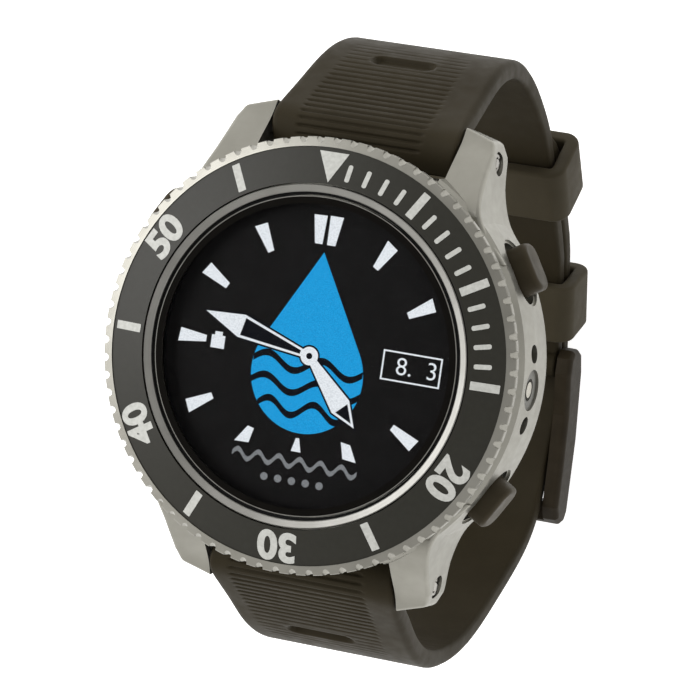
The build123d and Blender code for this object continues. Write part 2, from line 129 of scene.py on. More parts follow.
def add_floor():
    """Pale floor just under the strap loop."""
    low = CAD_BOX[0][2] - 0.0001
    mesh = bpy.data.meshes.new("floor")
    corners = [(x * FLOOR_REACH, y * FLOOR_REACH, low) for x, y in ((-1, -1), (1, -1), (1, 1), (-1, 1))]
    mesh.from_pydata(corners, [], [(0, 1, 2, 3)])
    floor = bpy.data.objects.new("floor", mesh)
    bpy.context.scene.collection.objects.link(floor)
    mat = material("pale_floor", (0.9, 0.9, 0.9), 0.8, specular=0.1)
    colour_noise(mat, 0.01, (0.86, 0.86, 0.85), (0.9, 0.9, 0.89))
    shader(mat).inputs["Emission Color"].default_value = (1, 1, 1, 1)
    rays = mat.node_tree.nodes.new("ShaderNodeLightPath")
    glow = mat.node_tree.nodes.new("ShaderNodeMapRange")
    glow.inputs["To Min"].default_value = FLOOR_GLOW
    glow.inputs["To Max"].default_value = FLOOR_GLOW_SEEN
    link(mat, rays.outputs["Is Camera Ray"], glow.inputs["Value"])
    link(mat, glow.outputs["Result"], shader(mat).inputs["Emission Strength"])
    floor.data.materials.append(mat)


def add_world():
    """Soft even light, dimmer straight overhead and brighter on the 9 o'clock side.

    Each range of direction along an axis maps to a range of brightness.
    """
    world = bpy.data.worlds.new("studio")
    world.use_nodes = True
    tree = world.node_tree
    coords = tree.nodes.new("ShaderNodeTexCoord")
    split = tree.nodes.new("ShaderNodeSeparateXYZ")
    tree.links.new(coords.outputs["Generated"], split.inputs["Vector"])
    shades = []
    for axis, ends in (("Z", (0.4, 0.95, 1.0, 0.5)), ("X", (-1.0, 1.0, 1.28, 0.64))):
        shade = tree.nodes.new("ShaderNodeMapRange")
        for key, value in zip(("From Min", "From Max", "To Min", "To Max"), ends):
            shade.inputs[key].default_value = value
        tree.links.new(split.outputs[axis], shade.inputs["Value"])
        shades.append(shade)
    both = tree.nodes.new("ShaderNodeMath")
    both.operation = "MULTIPLY"
    tree.links.new(shades[0].outputs["Result"], both.inputs[0])
    tree.links.new(shades[1].outputs["Result"], both.inputs[1])
    back = tree.nodes["Background"]
    back.inputs["Color"].default_value = (1.0, 0.985, 0.95, 1)
    tree.links.new(both.outputs["Value"], back.inputs["Strength"])
    bpy.context.scene.world = world


# ---------------------------------------------------------------- materials


# Colours are linear RGB. A pair of them, low and high, are the ends of a mottle.


def material(name, colour, roughness, metallic=0.0, specular=0.5):
    """A Principled material."""
    mat = bpy.data.materials.new(name)
    mat.use_nodes = True
    bsdf = shader(mat)
    bsdf.inputs["Base Color"].default_value = (*colour, 1)
    bsdf.inputs["Roughness"].default_value = roughness
    bsdf.inputs["Metallic"].default_value = metallic
    bsdf.inputs["Specular IOR Level"].default_value = specular
    return mat


def shader(mat):
    """The material's Principled node."""
    return mat.node_tree.nodes["Principled BSDF"]


def link(mat, source, target):
    """Joins two node sockets of the material."""
    mat.node_tree.links.new(source, target)


def millimetres(mat):
    """Object coordinates in mm."""
    coords = mat.node_tree.nodes.new("ShaderNodeTexCoord")
    scale = mat.node_tree.nodes.new("ShaderNodeVectorMath")
    scale.operation = "SCALE"
    scale.inputs["Scale"].default_value = 1000
    link(mat, coords.outputs["Object"], scale.inputs[0])
    return scale.outputs["Vector"]


def noise(mat, scale, detail=3.0, at=None):
    """Noise with this many features per mm."""
    made = mat.node_tree.nodes.new("ShaderNodeTexNoise")
    made.inputs["Scale"].default_value = scale
    made.inputs["Detail"].default_value = detail
    link(mat, at or millimetres(mat), made.inputs["Vector"])
    return made.outputs["Fac"]


def spread(mat, source, low, high, low_at=0.3, high_at=0.7):
    """Maps a value that runs from low_at to high_at onto low to high."""
    made = mat.node_tree.nodes.new("ShaderNodeMapRange")
    for key, value in zip(("From Min", "From Max", "To Min", "To Max"), (low_at, high_at, low, high)):
        made.inputs[key].default_value = value
    link(mat, source, made.inputs["Value"])
    return made.outputs["Result"]


def colour_between(mat, source, low, high, low_at=0.3, high_at=0.7):
    """Colour that goes from low to high as the value runs from low_at to high_at."""
    made = mat.node_tree.nodes.new("ShaderNodeValToRGB")
    first, last = made.color_ramp.elements
    first.position, first.color = low_at, (*low, 1)
    last.position, last.color = high_at, (*high, 1)
    link(mat, source, made.inputs["Fac"])
    return made.outputs["Color"]


def colour_noise(mat, scale, low, high):
    """Mottles the base colour."""
    link(mat, colour_between(mat, noise(mat, scale), low, high), shader(mat).inputs["Base Color"])


def rough_noise(mat, scale, low, high):
    """Mottles the roughness."""
    link(mat, spread(mat, noise(mat, scale, 4.0), low, high), shader(mat).inputs["Roughness"])


def bump(mat, height, strength, depth):
    """Bump of a given depth in mm, on top of any that is there."""
    made = mat.node_tree.nodes.new("ShaderNodeBump")
    made.inputs["Strength"].default_value = strength
    made.inputs["Distance"].default_value = depth * MM
    link(mat, height, made.inputs["Height"])
    normal = shader(mat).inputs["Normal"]
    if normal.is_linked:
        link(mat, normal.links[0].from_socket, made.inputs["Normal"])
    link(mat, made.outputs["Normal"], normal)


def round_lines(mat, scale):
    """Fine concentric lines about the dial's axis, as turning leaves."""
    nodes = mat.node_tree.nodes
    split = nodes.new("ShaderNodeSeparateXYZ")
    flat = nodes.new("ShaderNodeCombineXYZ")
    length = nodes.new("ShaderNodeVectorMath")
    length.operation = "LENGTH"
    join = nodes.new("ShaderNodeCombineXYZ")
    link(mat, millimetres(mat), split.inputs["Vector"])
    link(mat, split.outputs["X"], flat.inputs["X"])
    link(mat, split.outputs["Y"], flat.inputs["Y"])
    link(mat, flat.outputs["Vector"], length.inputs[0])
    link(mat, length.outputs["Value"], join.inputs["X"])
    link(mat, split.outputs["Z"], join.inputs["Y"])
    return noise(mat, scale, 2.0, join.outputs["Vector"])


def blasted_steel(name, low, high, grain, roughness):
    """Bead-blasted steel: fine grain and faint handling marks."""
    mat = material(name, low, roughness, metallic=1.0)
    colour_noise(mat, 0.2, low, high)
    rough_noise(mat, 1.0, roughness - 0.04, roughness + 0.06)
    bump(mat, noise(mat, grain, 5.0), 0.3, 0.008)
    bump(mat, noise(mat, 0.7, 3.0), 0.12, 0.02)
    return mat


def turned_steel(name, low, high, roughness, lines=9.0):
    """Circularly brushed steel."""
    mat = material(name, low, roughness, metallic=1.0)
    colour_noise(mat, 0.3, low, high)
    brushed = round_lines(mat, lines)
    link(mat, spread(mat, brushed, roughness - 0.06, roughness + 0.1), shader(mat).inputs["Roughness"])
    bump(mat, brushed, 0.2, 0.006)
    return mat


def moulded_rubber(name, low, high, roughness, grain=6.0):
    """Matte moulded rubber with a fine pebble and dusty highlights."""
    mat = material(name, low, roughness, specular=0.08)
    colour_noise(mat, 0.12, low, high)
    rough_noise(mat, 0.6, roughness - 0.06, roughness + 0.08)
    shader(mat).inputs["Sheen Weight"].default_value = 0.015
    bump(mat, noise(mat, grain, 4.0), 0.3, 0.02)
    bump(mat, noise(mat, 0.6, 2.0), 0.12, 0.05)
    return mat


def printed(name, low, high):
    """Thick pale paint with a slight mottle."""
    mat = material(name, low, 0.5, specular=0.3)
    colour_noise(mat, 2.5, low, high)
    rough_noise(mat, 3.0, 0.42, 0.58)
    bump(mat, noise(mat, 8.0, 3.0), 0.2, 0.01)
    return mat


def lit(name, low, high):
    """Lit display picture with the panel's fine dots."""
    mat = material(name, (0.001, 0.001, 0.001), 0.4, specular=0.05)
    dots = mat.node_tree.nodes.new("ShaderNodeTexVoronoi")
    dots.inputs["Scale"].default_value = 7.0
    link(mat, millimetres(mat), dots.inputs["Vector"])
    colour = colour_between(mat, dots.outputs["Distance"], high, low, 0.2, 0.8)
    link(mat, colour, shader(mat).inputs["Emission Color"])
    shader(mat).inputs["Emission Strength"].default_value = 1.0
    return mat


def plastic(name, low, high, roughness, specular=0.4, grain=1.5):
    """Satin plastic or coating with a fine grain."""
    mat = material(name, low, roughness, specular=specular)
    colour_noise(mat, grain / 3, low, high)
    rough_noise(mat, grain, roughness - 0.03, roughness + 0.05)
    bump(mat, noise(mat, 12.0, 3.0), 0.15, 0.004)
    return mat


def clear_glass():
    """Nearly clear flat glass with a faint change of polish."""
    mat = material("clear_glass", (1, 1, 1), 0.02, specular=0.06)
    shader(mat).inputs["Transmission Weight"].default_value = 1.0
    shader(mat).inputs["IOR"].default_value = 1.1
    shader(mat).inputs["Alpha"].default_value = 0.12
    rough_noise(mat, 0.05, 0.01, 0.04)
    return mat


def circuit_board():
    """Green board with the pattern of its tracks."""
    mat = material("circuit_board", (0.02, 0.14, 0.06), 0.35)
    tracks = mat.node_tree.nodes.new("ShaderNodeTexBrick")
    tracks.inputs["Scale"].default_value = 0.6
    link(mat, millimetres(mat), tracks.inputs["Vector"])
    tracks.inputs["Color1"].default_value = (0.015, 0.12, 0.05, 1)
    tracks.inputs["Color2"].default_value = (0.02, 0.17, 0.07, 1)
    tracks.inputs["Mortar"].default_value = (0.05, 0.3, 0.12, 1)
    link(mat, tracks.outputs["Color"], shader(mat).inputs["Base Color"])
    bump(mat, noise(mat, 5.0), 0.1, 0.02)
    return mat


STEEL = blasted_steel("blasted_steel", (0.270, 0.263, 0.234), (0.315, 0.308, 0.276), 14.0, 0.38)
BACK_STEEL = turned_steel("turned_back_steel", (0.36, 0.355, 0.33), (0.44, 0.43, 0.40), 0.3)
BEZEL_STEEL = turned_steel("bezel_steel", (0.280, 0.273, 0.245), (0.330, 0.322, 0.292), 0.36, 12.0)
RING_STEEL = turned_steel("polished_ring", (0.270, 0.266, 0.250), (0.330, 0.325, 0.308), 0.42, 16.0)
SMALL_STEEL = turned_steel("small_parts_steel", (0.33, 0.32, 0.30), (0.46, 0.45, 0.42), 0.28, 8.0)
INSERT_BLACK = plastic("insert_black", (0.0150, 0.0142, 0.0095), (0.0180, 0.0172, 0.0122), 0.42, 0.34, 5.0)
MARK_PAINT = printed("mark_paint", (0.47, 0.475, 0.45), (0.58, 0.585, 0.56))
SEAL = moulded_rubber("seal_rubber", (0.004, 0.004, 0.004), (0.006, 0.006, 0.006), 0.6)
STRAP = moulded_rubber("strap_rubber", (0.0255, 0.0200, 0.0108), (0.0325, 0.0262, 0.0150), 0.55)
# Lighter copy of the strap rubber: painted light, standing in for the brighter light that falls on the
# keepers' sides.
KEEPER_PAINTED_LIGHT_RUBBER = moulded_rubber("keeper_rubber_painted_light", (0.0440, 0.0365, 0.0225), (0.0560, 0.0470, 0.0300), 0.55)
PUSHER = moulded_rubber("pusher_rubber", (0.0350, 0.0280, 0.0170), (0.0620, 0.0510, 0.0330), 0.42, 9.0)
BUCKLE = plastic("buckle_coating", (0.0220, 0.0165, 0.0095), (0.0300, 0.0230, 0.0140), 0.45, 0.12)
PANEL = plastic("display_black", (0.0040, 0.0038, 0.0040), (0.0055, 0.0052, 0.0056), 0.4, 0.05)
BORDER = plastic("crystal_border_black", (0.0040, 0.0036, 0.0030), (0.0055, 0.0048, 0.0040), 0.5, 0.02)
# Grey coating for the ring on the crystal's polished edge: a painted highlight standing in for the edge's
# bright line.
PAINTED_EDGE_HIGHLIGHT = plastic("crystal_edge_painted_highlight", (0.16, 0.155, 0.14), (0.21, 0.205, 0.19), 0.4, 0.3)
MODULE = plastic("module_plastic", (0.02, 0.02, 0.02), (0.03, 0.03, 0.03), 0.5)
INSULATOR = plastic("insulator_plastic", (0.12, 0.118, 0.108), (0.17, 0.168, 0.155), 0.5)
CONTACT = turned_steel("contact_plating", (0.42, 0.40, 0.35), (0.5, 0.48, 0.42), 0.3)
CELL = turned_steel("cell_foil", (0.5, 0.5, 0.52), (0.65, 0.65, 0.68), 0.35, 2.0)
BOARD = circuit_board()
GLASS = clear_glass()
WHITE_LIT = lit("display_white", (0.66, 0.70, 0.74), (0.84, 0.88, 0.92))
BLUE_LIT = lit("display_blue", (0.006, 0.27, 0.62), (0.014, 0.36, 0.74))
GREY_LIT = lit("display_grey", (0.15, 0.16, 0.17), (0.24, 0.25, 0.26))
DARK_LIT = lit("display_dark", (0.001, 0.0015, 0.004), (0.002, 0.003, 0.006))

NODE_MATERIALS = {
    "case_body": STEEL, "case_back": BACK_STEEL, "case_back_screws": SMALL_STEEL, "case_back_gasket": SEAL,
    "bezel_ring": BEZEL_STEEL, "bezel_insert": INSERT_BLACK, "bezel_click_spring": SMALL_STEEL,
    "bezel_retaining_wire": SMALL_STEEL, "crystal_ring": RING_STEEL, "crystal": GLASS, "crystal_gasket": SEAL,
    "display_panel": PANEL, "module_frame": MODULE, "main_board": BOARD, "battery": CELL,
    "pressure_sensor": SMALL_STEEL, "charge_contact_pin": CONTACT, "charge_contact_insulator": INSULATOR,
    "button_seals": SEAL, "button_springs": SMALL_STEEL, "spring_bar_12h": SMALL_STEEL,
    "spring_bar_6h": SMALL_STEEL, "strap_buckle_half": STRAP, "strap_tail_half": STRAP,
    "buckle_pin": SMALL_STEEL, "keeper_upper": STRAP, "keeper_lower": STRAP, "buckle_frame": BUCKLE,
    "buckle_tongue": BUCKLE,
}


def dress_nodes():
    """Give every CAD node its material."""
    for name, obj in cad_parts.items():
        mat = NODE_MATERIALS.get(name)
        if mat is None:
            mat = SMALL_STEEL if "clip" in name else PUSHER
        obj.data.materials.clear()
        obj.data.materials.append(mat)


# ---------------------------------------------------------------- mesh helpers


def add_piece(name, verts, faces, mat, body, slot, smooth=True):
    """Mesh object from points in mm."""
    mesh = bpy.data.meshes.new(name)
    mesh.from_pydata([(x * MM, y * MM, z * MM) for x, y, z in verts], [], faces)
    mesh.validate()
    bm = bmesh.new()
    bm.from_mesh(mesh)
    bmesh.ops.recalc_face_normals(bm, faces=bm.faces)
    bm.to_mesh(mesh)
    bm.free()
    mesh.polygons.foreach_set("use_smooth", [smooth] * len(mesh.polygons))
    mesh.materials.append(mat)
    obj = bpy.data.objects.new(name, mesh)
    bpy.context.scene.collection.objects.link(obj)
    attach(obj, body)
    return obj


def grid_faces(rows, columns, close_rows=False):
    """Quads over a grid of points stored row by row, each row a closed ring."""
    faces = []
    for i in range(rows if close_rows else rows - 1):
        for j in range(columns):
            a = i * columns + j
            b = i * columns + (j + 1) % columns
            up = ((i + 1) % rows) * columns
            faces.append((a, b, up + (j + 1) % columns, up + j))
    return faces


def clamped_curve(points, first, last, spacing):
    """Points along a cubic spline through 2D points, with given end directions."""
    p = np.array(points, float)
    chord = np.hypot(*np.diff(p, axis=0).T)
    t = np.concatenate([[0], np.cumsum(chord)])
    n = len(p)
    system = np.zeros((n, n))
    right = np.zeros((n, 2))
    system[0, 0] = system[-1, -1] = 1
    right[0] = np.array(first) / np.hypot(*first)
    right[-1] = np.array(last) / np.hypot(*last)
    for i in range(1, n - 1):
        a, b = chord[i - 1], chord[i]
        system[i, i - 1:i + 2] = [b, 2 * (a + b), a]
        right[i] = 3 * (b * (p[i] - p[i - 1]) / a + a * (p[i + 1] - p[i]) / b)
    slope = np.linalg.solve(system, right)
    out = []
    for i in range(n - 1):
        steps = max(2, round(chord[i] / spacing))
        for u in np.arange(steps) / steps:
            h00, h10 = 2 * u**3 - 3 * u**2 + 1, u**3 - 2 * u**2 + u
            h01, h11 = -2 * u**3 + 3 * u**2, u**3 - u**2
            out.append(h00 * p[i] + h01 * p[i + 1] + chord[i] * (h10 * slope[i] + h11 * slope[i + 1]))
    out.append(p[-1])
    return np.array(out)


def smooth_step(x):
    """Eased rise from 0 to 1."""
    x = np.clip(x, 0, 1)
    return x * x * (3 - 2 * x)


def flat_piece(name, outlines, z, mat, slot, body="case", thickness=0.03, lift=None):
    """Thin raised shapes drawn in the dial plane, mm. lift(x, y) overrides the height."""
    verts = []
    faces = []
    for outline in outlines:
        start = len(verts)
        count = len(outline)
        for top in (0, 1):
            for x, y in outline:
                base = lift(x, y) if lift else z
                verts.append((x, y, base + (thickness if top else -0.01)))
        for tri in tessellate_polygon([[Vector((x, y, 0)) for x, y in outline]]):
            faces.append([start + count + k for k in tri])
            faces.append([start + k for k in reversed(tri)])
        for k in range(count):
            after = (k + 1) % count
            faces.append((start + k, start + after, start + count + after, start + count + k))
    return add_piece(name, verts, faces, mat, body, slot, smooth=False)


# ---------------------------------------------------------------- strap

# The loop in the YZ plane, mm: the same route as the CAD strap. Both layers lie along
# two straight sections behind the wrist, which meet at the corner.
# BACK_1 and BACK_2 point along the sections, and OUT_1 and OUT_2 away from the wrist.
BACK_1 = np.array((-0.7526, -0.6585))
BACK_2 = np.array((-0.9229, -0.3852))
BACK_1_START = np.array((26.05, -32.24))
BACK_CORNER = np.array((12.88, -43.77))
BUCKLE_AXIS = np.array((-0.9, -47.6))
OUT_1 = np.array((0.6585, -0.7526))
OUT_2 = np.array((0.3852, -0.9229))
# Where the strap comes out between the lugs, on the 12 o'clock side.
SHOULDER = [(20.95, 5.25), (22.2, 6.0), (23.5, 6.35), (24.6, 6.25), (25.5, 5.75)]
STRAP_END_HALF = 10.77

# Spacing of the route's points on its curves and behind the wrist, and half the corner's length.
ROUTE_STEP = 0.1
BACK_STEP = 0.4
BEND_HALF = 1.7

# A layer's thickness, the air between two layers, the radius of a layer's inner edges, the width
# that its rounded sides take, and the length of the tail's rounded tip.
LAYER = 2.2
LAYER_GAP = 0.06
INNER_EDGE_R = 0.45
SIDE_WIDTH = 0.75
TIP_LENGTH = 7.0

# The rolled end round the buckle pin, and the holes that the tongue goes through.
LOOP_R = 1.68
LOOP_SIDES = 28
TONGUE_GAP = 1.6
HOLE_SIDES = 24
HOLE_CORNER_R = 1.0

KEEPER_WALL = 1.7
KEEPER_LENGTH = 7.2
KEEPER_INNER_HALF = 9.95
KEEPER_PLAY = 0.25

# Transverse ribs on the outer face, with one oblong recess among them. The panel sits a little
# to the 9 o'clock side of the strap's middle. The route is finely divided to just past the recess.
RIB_PITCH = 0.98
RIB_DEPTH = 0.3
PANEL_SHIFT = -0.5
RIB_START = 2.0
RECESS_R = 0.92
RECESS_DEPTH = 0.6
PAST_RECESS = 6


def straight(start, end):
    """Points along a line, both ends included."""
    steps = max(2, round(np.hypot(*(end - start)) / BACK_STEP))
    return np.array([start + (end - start) * k / steps for k in range(steps + 1)])


def joined(*runs):
    """One line of points from several that share their ends."""
    return np.concatenate([runs[0]] + [run[1:] for run in runs[1:]])


def buckle_half_route():
    """Outer surface of the 12 o'clock half, from the case to the buckle."""
    front = SHOULDER + [(26.6, 4.4), (29.6, -0.4), (32.6, -5.6), (34.3, -11.4)]
    front += [(34.2, -16.6), (32.7, -21.8), (30.0, -26.9), tuple(BACK_1_START + BACK_1)]
    curve = clamped_curve(front, (0.8, 0.5), BACK_1, ROUTE_STEP)
    bend_start, bend_end = BACK_CORNER - BACK_1 * BEND_HALF, BACK_CORNER + BACK_2 * BEND_HALF
    bend = clamped_curve([bend_start, bend_end], BACK_1, BACK_2, BACK_STEP)
    end = BUCKLE_AXIS - BACK_2 * 0.4 + OUT_2 * 1.7
    return joined(curve, straight(curve[-1], bend_start), bend, straight(bend_end, end))


def tail_route():
    """Outer surface of the 6 o'clock half, from the case round to its free tip.

    It follows the inner surface, which lies on the other half, and then steps out by a layer.
    """
    lift_1, lift_2 = OUT_1 * LAYER_GAP, OUT_2 * LAYER_GAP
    bend_start = BACK_CORNER - BACK_1 * BEND_HALF + lift_1
    bend_end = BACK_CORNER + BACK_2 * BEND_HALF + lift_2
    last = BUCKLE_AXIS - BACK_2 * 1.2 + OUT_2 * 1.8
    under = [(-23.6, 5.2), (-25.3, 2.4), (-27.6, -1.6), (-30.4, -6.4), (-32.3, -11.6)]
    under += [(-33.0, -17.6), (-32.5, -23.6), (-30.4, -30.2), (-27.4, -36.0), (-24.4, -41.2), (-19.6, -46.6)]
    under += [(-15, -48.25), (-10, -49.35), (-4.5, -49.95), tuple(last)]
    curve = clamped_curve(under, (-0.5, -0.87), -BACK_2, ROUTE_STEP)
    bend = clamped_curve([bend_end, bend_start], -BACK_2, -BACK_1, BACK_STEP)
    tip = BACK_1_START - BACK_1 * 2.4 + lift_1
    inner = joined(curve, straight(last, bend_end), bend, straight(bend_start, tip))
    outer = inner + outward_of(inner) * LAYER
    outer = outer[lengths(inner) > 6.0]
    start = [(-y, z) for y, z in SHOULDER] + [(-26.6, 4.4), tuple(outer[0])]
    return joined(clamped_curve(start, (-0.8, 0.5), outer[1] - outer[0], ROUTE_STEP), outer)


def outward_of(route):
    """Unit vectors square to the route, away from the wrist."""
    along = np.gradient(route, axis=0)
    along /= np.hypot(*along.T)[:, None]
    outward = np.stack([-along[:, 1], along[:, 0]], 1)
    middle = len(route) // 3
    return -outward if outward[middle] @ route[middle] < 0 else outward


def lengths(route):
    """Length along the route up to each of its points."""
    return np.concatenate([[0], np.cumsum(np.hypot(*np.diff(route, axis=0).T))])


def thinned(route, fine_length, step=5):
    """Every point over the ribbed length, then every few."""
    keep = lengths(route) < fine_length
    keep[::step] = True
    keep[-1] = True
    return route[keep]


def reach_of(route, y, z):
    """Length along the route to the point nearest to y, z."""
    return lengths(route)[np.argmin(np.hypot(*(route - (y, z)).T))]


def half_width(z):
    """Strap half width at a height: full at the case, narrower behind the wrist."""
    return float(np.interp(z, [-19.7, 2.3], [9.7, 10.8])) - 0.03


def across(half, edge):
    """Stations across the strap, closer together where the edge rounds over."""
    edge_points = [half - edge * (1 - math.cos(a)) for a in np.linspace(0, math.pi / 2, 6)]
    side = edge_points + list(np.linspace(half - edge, 0, 34))[1:]
    return np.array([-x for x in side] + side[-2::-1])


def edge_drop(half, x, radius):
    """How far a rounded edge falls away from the flat face."""
    past = min(max(abs(x) - (half - radius), 0), radius)
    return radius - math.sqrt(radius * radius - past * past)


def tip_narrowing(left, half):
    """How much narrower the strap is near its rounded free tip."""
    if left > TIP_LENGTH:
        return 0.0
    return half * (1 - math.sqrt(max(0.0, 1 - (1 - left / TIP_LENGTH) ** 2 * 0.92)))


def strap_layer(route, relief, rounded_tip):
    """Strap half as rings of points round its section; relief(s, x, half) cuts the outer face.

    The layer is thinner, narrower and sharper at its edges near the case, to pass between the lugs.
    """
    outward = outward_of(route)
    run = lengths(route)
    verts = []
    for i, place in enumerate(route):
        low = -LAYER * min(1.0, 0.35 + run[i] / 12)
        half = half_width(place[1]) - 0.5 * float(smooth_step(1 - run[i] / 4.5))
        if rounded_tip:
            half -= tip_narrowing(run[-1] - run[i], half)
        edge = 0.3 + 0.45 * float(smooth_step((run[i] - 5) / 5))
        xs = across(half, min(SIDE_WIDTH, half * 0.5))
        for x in xs:
            height = -edge_drop(half, x, edge) - relief(run[i], x, half)
            verts.append((x, *(place + outward[i] * height)))
        for x in xs[::-1]:
            verts.append((x, *(place + outward[i] * (low + edge_drop(half, x, INNER_EDGE_R)))))
    count = len(verts) // len(route)
    faces = grid_faces(len(route), count)
    faces.append(list(range(count)))
    faces.append([len(verts) - 1 - k for k in range(count)])
    return verts, faces


def ribs(margin, recess_at, recess_half):
    """Depth of ribs that fade out past an oblong recess, at s along and x across the strap."""

    def depth(s, x, half):
        x -= PANEL_SHIFT
        inside = smooth_step((half - margin - abs(x)) / 0.3 + 0.5)
        gone = smooth_step((s - RIB_START) / (recess_at + 3 - RIB_START))
        fade = smooth_step((s - RIB_START) / 0.5) * (1 - 0.85 * gone)
        fade *= smooth_step((recess_at + 5 - s) / 3)
        groove = abs((s / RIB_PITCH) % 1.0 - 0.5)
        cut = RIB_DEPTH * smooth_step(1.25 - groove / 0.2) * inside * fade
        nearest = min(max(x, -recess_half), recess_half)
        gap = math.hypot(x - nearest, s - recess_at)
        recess = smooth_step((RECESS_R - gap) / 0.3 + 0.5)
        clear = smooth_step((RECESS_R + 0.8 - gap) / 0.3)
        return float(max(cut * (1 - clear), RECESS_DEPTH * recess))

    return depth


def rounded_prism(outline, half, radius):
    """Prism along X from Y, Z points with all its edges rounded."""
    bm = bmesh.new()
    face = bm.faces.new([bm.verts.new((-half, y, z)) for y, z in outline])
    made = bmesh.ops.extrude_face_region(bm, geom=[face])
    moved = [v for v in made["geom"] if isinstance(v, bmesh.types.BMVert)]
    bmesh.ops.translate(bm, verts=moved, vec=(2 * half, 0, 0))
    shape = {"segments": 4, "profile": 0.5, "affect": "EDGES", "clamp_overlap": True}
    bmesh.ops.bevel(bm, geom=bm.edges[:], offset=radius, **shape)
    bm.verts.index_update()
    verts = [tuple(v.co) for v in bm.verts]
    faces = [[v.index for v in f.verts] for f in bm.faces]
    bm.free()
    return verts, faces


def end_block(sign):
    """Thick strap end between the lugs, round the spring bar, under the strap's outer face."""
    outline = [(20.85, 4.8), (22.2, 5.6), (23.5, 5.95), (24.5, 5.85), (25.3, 5.35), (26.2, 3.9), (27.2, 2.2)]
    outline += [(26.2, 0.9), (24.9, 1.75), (23.2, 2.05), (20.85, 2.25)]
    return rounded_prism([(sign * y, z) for y, z in outline], STRAP_END_HALF - 0.4, 0.25)


def loop_end(side):
    """Half of the rolled end round the buckle pin, as a turned bar along X."""
    ends = [(TONGUE_GAP, 1.35), (TONGUE_GAP + 0.1, 1.6), (TONGUE_GAP + 0.3, LOOP_R), (9.3, LOOP_R)]
    ends += [(9.55, 1.6), (9.65, 1.35)]
    verts = []
    for x, r in ends:
        for k in range(LOOP_SIDES):
            a = 2 * math.pi * k / LOOP_SIDES
            verts.append((side * x, BUCKLE_AXIS[0] + r * math.cos(a), BUCKLE_AXIS[1] + r * math.sin(a)))
    faces = grid_faces(len(ends), LOOP_SIDES)
    faces += [list(range(LOOP_SIDES)), [len(verts) - 1 - k for k in range(LOOP_SIDES)]]
    return verts, faces


def merged(*pieces):
    """Points and faces of several closed pieces as one."""
    verts, faces = [], []
    for more_verts, more_faces in pieces:
        start = len(verts)
        verts += list(more_verts)
        faces += [[start + k for k in face] for face in more_faces]
    return verts, faces


def slot_tool(y, z, tilt, length=3.5, half=1.65, deep=3.0):
    """Rounded upright prism that cuts a hole through the strap."""
    points = []
    r = HOLE_CORNER_R
    for k in range(HOLE_SIDES):
        a = 2 * math.pi * k / HOLE_SIDES
        x = (half - r) * math.copysign(1, math.cos(a)) + r * math.cos(a)
        v = (length / 2 - r) * math.copysign(1, math.sin(a)) + r * math.sin(a)
        points.append((x, v))
    turn = Matrix.Rotation(tilt, 3, "X")
    verts = []
    for w in (-deep, deep):
        verts += [tuple(turn @ Vector((x, v, w)) + Vector((0, y, z))) for x, v in points]
    n = HOLE_SIDES
    faces = [list(range(n)), [2 * n - 1 - k for k in range(n)]]
    faces += [[k, (k + 1) % n, n + (k + 1) % n, n + k] for k in range(n)]
    return verts, faces


def carved(piece, tool):
    """The piece's points and faces after a boolean cut by the tool."""
    objects = []
    for verts, faces in (piece, tool):
        mesh = bpy.data.meshes.new("carving")
        mesh.from_pydata(verts, [], faces)
        bm = bmesh.new()
        bm.from_mesh(mesh)
        bmesh.ops.recalc_face_normals(bm, faces=bm.faces)
        bm.to_mesh(mesh)
        bm.free()
        obj = bpy.data.objects.new("carving", mesh)
        bpy.context.scene.collection.objects.link(obj)
        objects.append(obj)
    body, cutter = objects
    cut = body.modifiers.new("cut", "BOOLEAN")
    cut.operation = "DIFFERENCE"
    cut.object = cutter
    cut.solver = "EXACT"
    done = bpy.data.meshes.new_from_object(body.evaluated_get(bpy.context.evaluated_depsgraph_get()))
    result = [tuple(v.co) for v in done.vertices], [list(p.vertices) for p in done.polygons]
    for obj in objects:
        bpy.data.objects.remove(obj)
    return result


def build_buckle_half():
    """The 12 o'clock half, whose rolled end leaves a gap for the tongue."""
    route = buckle_half_route()
    recess = reach_of(route, 32.3, -5.0)
    relief = ribs(margin=3.6, recess_at=recess, recess_half=2.6)
    layer = strap_layer(thinned(route, recess + PAST_RECESS), relief, rounded_tip=False)
    gap = slot_tool(*BUCKLE_AXIS, tilt=0.395, length=5.0, half=TONGUE_GAP, deep=6.0)
    layer = carved(layer, gap)
    whole = merged(layer, end_block(1), loop_end(1), loop_end(-1))
    upper = add_piece("strap_12h", *whole, STRAP, "case", "strap_rubber")
    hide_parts("strap_buckle_half")


def build_tail_half():
    """The 6 o'clock half, with its holes and rounded tip."""
    route = tail_route()
    recess = reach_of(route, -32.3, -4.8)
    relief = ribs(margin=3.0, recess_at=recess, recess_half=2.8)
    layer = strap_layer(thinned(route, recess + PAST_RECESS), relief, rounded_tip=True)
    holes = [slot_tool(-2.45, -50.5, 0.2), slot_tool(-8.6, -50.8, 0.15), slot_tool(-14.6, -49.8, -0.2)]
    for reach in (6.5, 13.0):
        spot = BACK_1_START + BACK_1 * (reach - 2.6)
        holes.append(slot_tool(*spot, 0.719))
    layer = carved(layer, merged(*holes))
    lower = add_piece("strap_6h", *merged(layer, end_block(-1)), STRAP, "case", "strap_rubber")
    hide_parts("strap_tail_half")


def keeper_route(half, thick, corner):
    """Rounded rectangle as points and outward directions."""
    points, outs = [], []
    for cx, cy, start in ((1, 1, 0), (-1, 1, 90), (-1, -1, 180), (1, -1, 270)):
        for k in range(9):
            a = math.radians(start + 90 * k / 8)
            out = np.array((math.cos(a), math.sin(a)))
            points.append(np.array((cx * (half - corner), cy * (thick - corner))) + out * corner)
            outs.append(out)
    return points, outs


